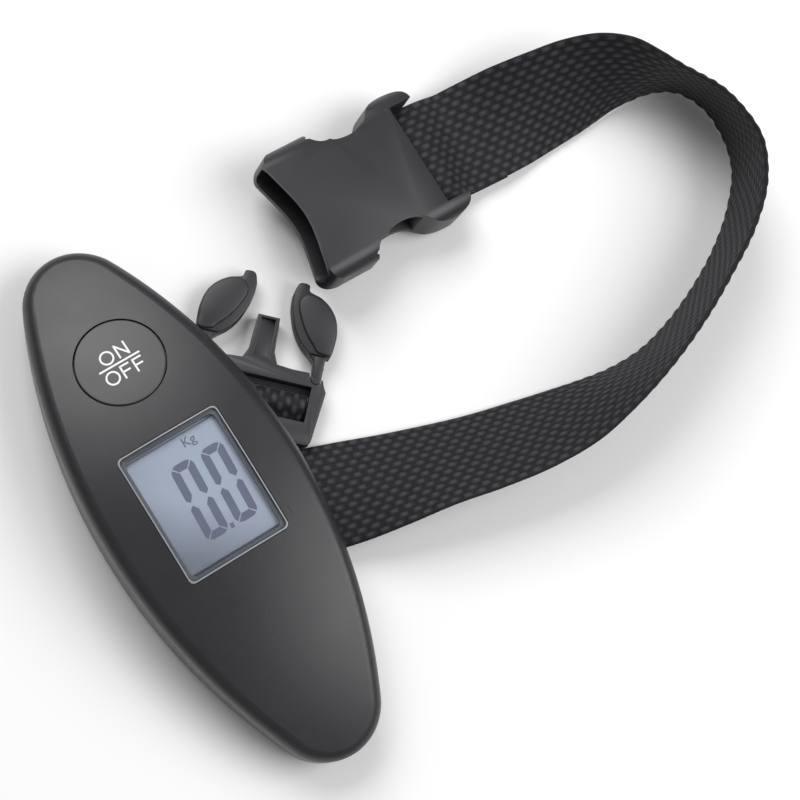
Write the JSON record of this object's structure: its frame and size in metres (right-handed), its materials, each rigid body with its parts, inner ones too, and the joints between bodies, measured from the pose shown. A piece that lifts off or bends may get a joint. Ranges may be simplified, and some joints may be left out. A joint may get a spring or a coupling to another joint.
{
  "type": "digital luggage scale",
  "caption": "Slim boat-shaped handheld digital hanging scale with a domed front, display and push button, and a webbing strap with a side-release buckle that loops round a bag handle.",
  "frame": {"origin": "middle of the flat back face on which the scale lies, at the surface under it", "axes": "+Z out of the display and up from the table, +Y along the body towards the button end, +X towards the side on which the strap lies"},
  "size_m": [0.187, 0.132, 0.0258],
  "materials": {
    "body_black": "satin, very fine texture",
    "button_black": "satin, smoother than the body",
    "buckle_black": "satin",
    "lens_clear": "clear, polished",
    "lcd_panel": "pale blue grey",
    "lcd_frame": "moulded",
    "reflector_white": "matte",
    "zebra_rubber": "matte",
    "board_green": "solder mask",
    "resin_black": "glossy resin",
    "switch_steel": "plain",
    "switch_plunger_black": "plain",
    "load_cell_aluminium": "machined",
    "gauge_foil": "foil on film",
    "screw_steel": "zinc plated",
    "stirrup_steel": "zinc plated",
    "cell_steel": "plain",
    "contact_nickel": "nickel plated",
    "wire_insulation": "plain",
    "webbing_black": "coarse plain weave"
  },
  "bodies": {
    "scale_body": {"front_shell": "body_black", "back_shell": "body_black", "display_lens": "lens_clear", "display_glass": "lcd_panel", "display_frame": "lcd_frame", "display_reflector": "reflector_white", "rubber_connectors": "zebra_rubber", "circuit_board": "board_green", "controller_blob": "resin_black", "tact_switch": "switch_steel", "load_cell_beam": "load_cell_aluminium", "strain_gauges": "gauge_foil", "beam_screws": "screw_steel", "stirrup_screw": "screw_steel", "pull_stirrup": "stirrup_steel", "strap_bar": "stirrup_steel", "coin_cell": "cell_steel", "cell_contact_top": "contact_nickel", "cell_contact_side": "contact_nickel", "shell_screws": "screw_steel", "gauge_leads": "wire_insulation", "battery_leads": "wire_insulation"},
    "power_button": {"on_off_button": "button_black", "switch_plunger": "switch_plunger_black"},
    "battery_door": {"battery_cover": "body_black"},
    "strap_set": {"webbing_strap": "webbing_black", "buckle_female": "buckle_black", "buckle_male_frame": "buckle_black"},
    "arm_right": {"buckle_arm_right": "buckle_black"},
    "arm_left": {"buckle_arm_left": "buckle_black"}
  },
  "joints": [
    {"name": "button_press", "type": "slide", "parent": "scale_body", "child": "power_button", "axis": [0, -0.1957, -0.9807], "range_m": [0, 0.0005], "stiffness_N_per_m": 400},
    {"name": "battery_cover_turn", "type": "hinge", "parent": "scale_body", "child": "battery_door", "pos_m": [0, -0.041, 0.001], "axis": [0, 0, 1], "range_deg": [0, 45]},
    {"name": "strap_swing", "type": "hinge", "parent": "scale_body", "child": "strap_set", "pos_m": [0, -0.003, 0.0037], "axis": [-0.1736, 0.9848, 0], "range_deg": [0, 90]},
    {"name": "arm_right_flex", "type": "hinge", "parent": "strap_set", "child": "arm_right", "pos_m": [0.03959, 0.01193, 0.0025], "axis": [0, 0, 1], "range_deg": [0, 9.5], "stiffness_Nm_per_rad": 0.2},
    {"name": "arm_left_flex", "type": "hinge", "parent": "strap_set", "child": "arm_left", "pos_m": [0.01955, 0.03121, 0.0025], "axis": [0, 0, -1], "range_deg": [0, 9.5], "stiffness_Nm_per_rad": 0.2}
  ]
}
